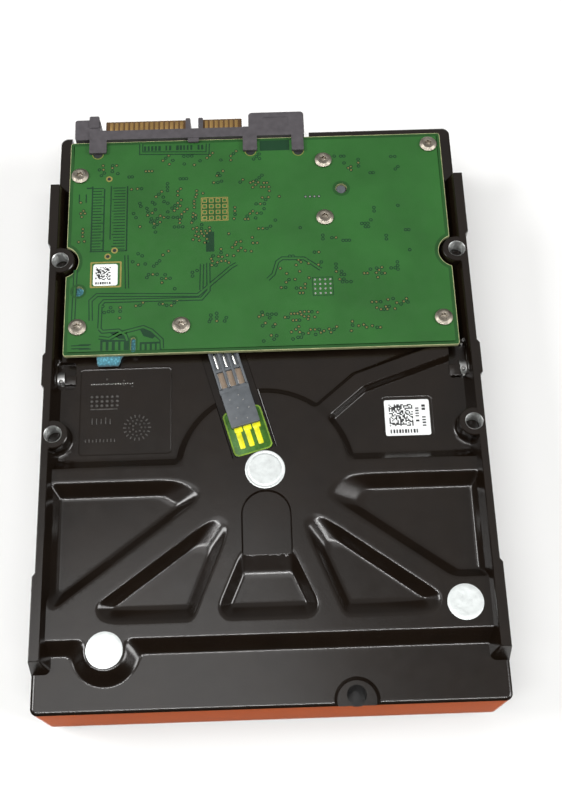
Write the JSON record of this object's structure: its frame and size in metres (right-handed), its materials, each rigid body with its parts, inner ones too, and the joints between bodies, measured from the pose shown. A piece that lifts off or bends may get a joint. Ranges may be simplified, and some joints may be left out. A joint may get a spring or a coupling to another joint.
{
  "type": "hard disk drive",
  "caption": "Desktop hard disk drive with a black ribbed base casting, green circuit board, serial ATA connector, spinning disks and a swinging head arm inside.",
  "frame": {"origin": "under the middle of the drive, on the plane that its cover rests on", "axes": "+Z points out of the circuit board side, +Y towards the connector end, +X to the right in the picture"},
  "size_m": [0.1016, 0.147, 0.0261],
  "materials": {
    "black_coated_casting": "black electro-coated die casting, satin",
    "bare_cover": "satin formed sheet",
    "gasket_rubber": "matte",
    "solder_mask": "green solder mask over glass-fibre board",
    "grey_plastic": "moulded, satin",
    "chip_plastic": "moulded, matte",
    "screw_steel": "plated, satin",
    "foil": "satin foil",
    "blue_foam": "soft blue foam",
    "green_film": "thin green film",
    "steel": "satin",
    "disk_coating": "mirror-bright sputtered coating",
    "machined_aluminium": "machined",
    "copper_wire": "enamelled copper wire",
    "magnet": "nickel plated",
    "ramp_plastic": "cream acetal",
    "filter_cloth": "white filter cloth",
    "flex_amber": "amber film"
  },
  "bodies": {
    "housing": {"base_casting": "black_coated_casting", "bearing_end_plate": "steel", "bearing_sleeve": "steel", "board_screw_1": "screw_steel", "board_screw_2": "screw_steel", "board_screw_3": "screw_steel", "board_screw_4": "screw_steel", "board_screw_5": "screw_steel", "board_screw_6": "screw_steel", "board_screw_7": "screw_steel", "breather_filter": "filter_cloth", "circuit_board": "solder_mask", "controller_chip": "chip_plastic", "cover_gasket": "gasket_rubber", "cover_screw_1": "screw_steel", "cover_screw_2": "screw_steel", "cover_screw_3": "screw_steel", "cover_screw_4": "screw_steel", "cover_screw_5": "screw_steel", "cover_screw_6": "screw_steel", "crash_stop_inner": "gasket_rubber", "crash_stop_outer": "gasket_rubber", "flex_bracket": "ramp_plastic", "flex_cable": "flex_amber", "insulator_pad": "blue_foam", "lower_magnet": "magnet", "lower_yoke": "steel", "memory_chip": "chip_plastic", "motor_connector": "grey_plastic", "motor_driver_chip": "chip_plastic", "motor_flex": "green_film", "parking_ramp": "ramp_plastic", "pivot_shaft": "steel", "port_seal_left": "foil", "port_seal_right": "foil", "recirculation_filter": "filter_cloth", "sata_connector": "grey_plastic", "spindle_seal": "foil", "stator_core": "steel", "stator_windings": "copper_wire", "top_cover": "bare_cover", "upper_magnet": "magnet", "upper_yoke": "steel"},
    "disk_stack": {"spindle_hub": "machined_aluminium", "spindle_shaft": "steel", "rotor_magnet": "magnet", "platter_1": "disk_coating", "platter_2": "disk_coating", "spacer_ring": "machined_aluminium", "disk_clamp": "steel", "clamp_screw": "screw_steel"},
    "actuator": {"arm_comb": "machined_aluminium", "pivot_bearing": "steel", "voice_coil": "copper_wire", "preamp_board": "flex_amber", "suspension_1": "steel", "suspension_2": "steel", "suspension_3": "steel", "suspension_4": "steel"},
    "latch": {"actuator_latch": "ramp_plastic"}
  },
  "joints": [
    {"name": "spindle_spin", "type": "hinge", "parent": "housing", "child": "disk_stack", "pos_m": [0, -0.0216, 0.01], "axis": [0, 0, 1], "continuous": true},
    {"name": "actuator_swing", "type": "hinge", "parent": "housing", "child": "actuator", "pos_m": [-0.0195, 0.033, 0.01], "axis": [0, 0, 1], "range_deg": [-33.5, 0]},
    {"name": "latch_swing", "type": "hinge", "parent": "housing", "child": "latch", "pos_m": [-0.0414, 0.0549, 0.009], "axis": [0, 0, 1], "range_deg": [-14, 0]}
  ]
}
